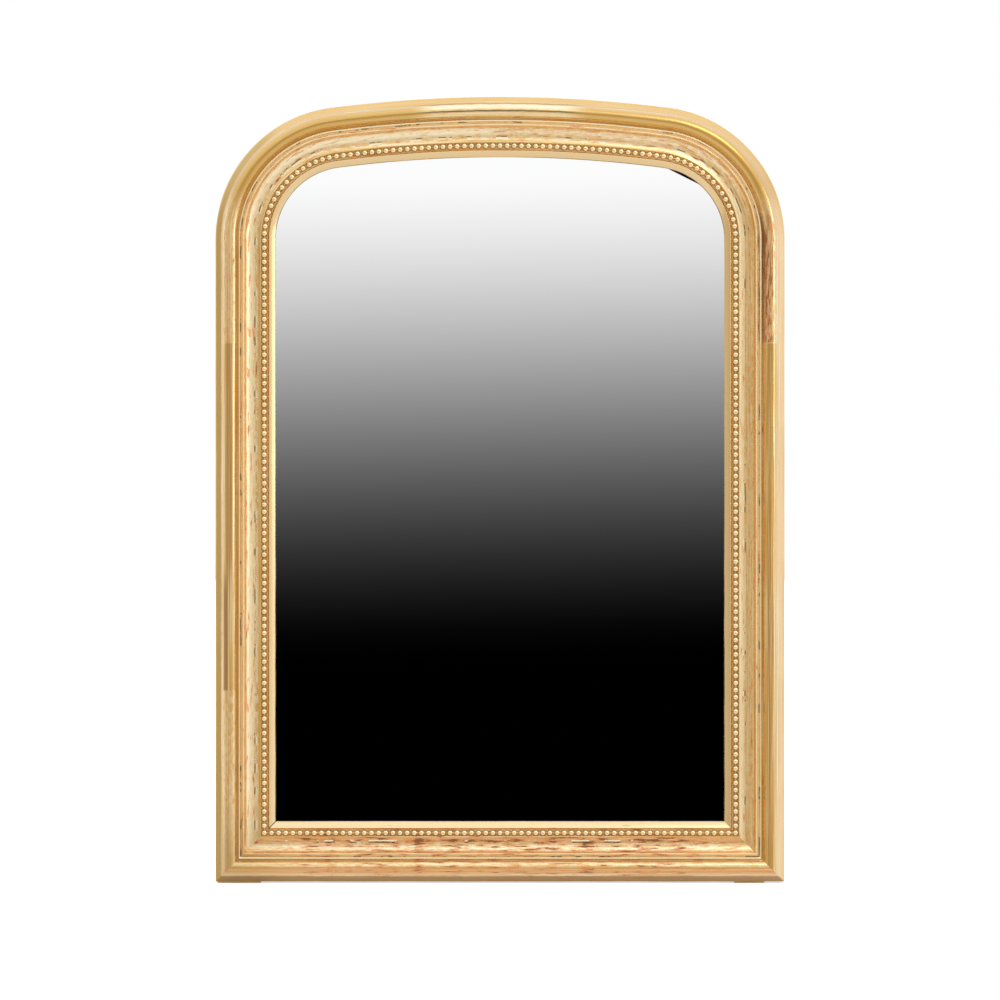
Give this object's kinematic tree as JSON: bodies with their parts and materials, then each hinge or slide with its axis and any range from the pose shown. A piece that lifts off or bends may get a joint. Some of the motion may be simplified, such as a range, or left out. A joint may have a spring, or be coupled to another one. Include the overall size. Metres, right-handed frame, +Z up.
{
  "type": "wall mirror",
  "caption": "Upright wall mirror in a gilded frame with a flat-arched top, rounded upper corners, a deep hollow moulding, a string of pearls and a bevelled slip.",
  "frame": {"origin": "on the surface it stands on, under the middle of the frame and of its depth", "axes": "+Z up, the glass faces -Y, +X to the right as seen from the front"},
  "size_m": [0.796, 0.0532, 1.1],
  "materials": {
    "gilding": "worn water gilding over red bole on gesso, satin",
    "gilt_pearls": "gilded composition beads, satin",
    "painted_pine": "pine with an ochre wash, matte",
    "bare_pine": "aged unfinished pine, matte",
    "silvered_glass": "silvered plate glass, polished",
    "brass": "dull aged brass",
    "iron": "dark iron, rusted"
  },
  "bodies": {
    "frame": {"outer_moulding_left": "gilding", "outer_moulding_right": "gilding", "outer_moulding_bottom": "gilding", "outer_moulding_arch": "gilding", "inner_moulding_left": "gilding", "inner_moulding_right": "gilding", "inner_moulding_bottom": "gilding", "inner_moulding_arch": "gilding", "slip_left": "gilding", "slip_right": "gilding", "slip_bottom": "gilding", "slip_arch": "gilding", "pearls_left": "gilt_pearls", "pearls_right": "gilt_pearls", "pearls_bottom": "gilt_pearls", "pearls_arch": "gilt_pearls", "carcass_stile_left": "painted_pine", "carcass_stile_right": "painted_pine", "carcass_rail_bottom": "painted_pine", "carcass_rail_top": "painted_pine", "carcass_corner_left": "painted_pine", "carcass_corner_right": "painted_pine", "mirror_glass": "silvered_glass", "glass_wedge_blocks": "bare_pine", "back_board_1": "bare_pine", "back_board_2": "bare_pine", "back_board_3": "bare_pine", "back_board_top": "bare_pine", "back_board_nails": "iron", "foot_left": "painted_pine", "foot_right": "painted_pine", "hanger_plates": "brass", "hanger_screws": "iron"},
    "ring_left": {"hanging_ring_left": "brass"},
    "ring_right": {"hanging_ring_right": "brass"}
  },
  "joints": [
    {"name": "ring_left_swing", "type": "hinge", "parent": "frame", "child": "ring_left", "pos_m": [-0.367, 0.02353, 0.81424], "axis": [1, 0, 0], "range_deg": [-2, 182]},
    {"name": "ring_right_swing", "type": "hinge", "parent": "frame", "child": "ring_right", "pos_m": [0.367, 0.02353, 0.81424], "axis": [1, 0, 0], "range_deg": [-2, 182]}
  ]
}
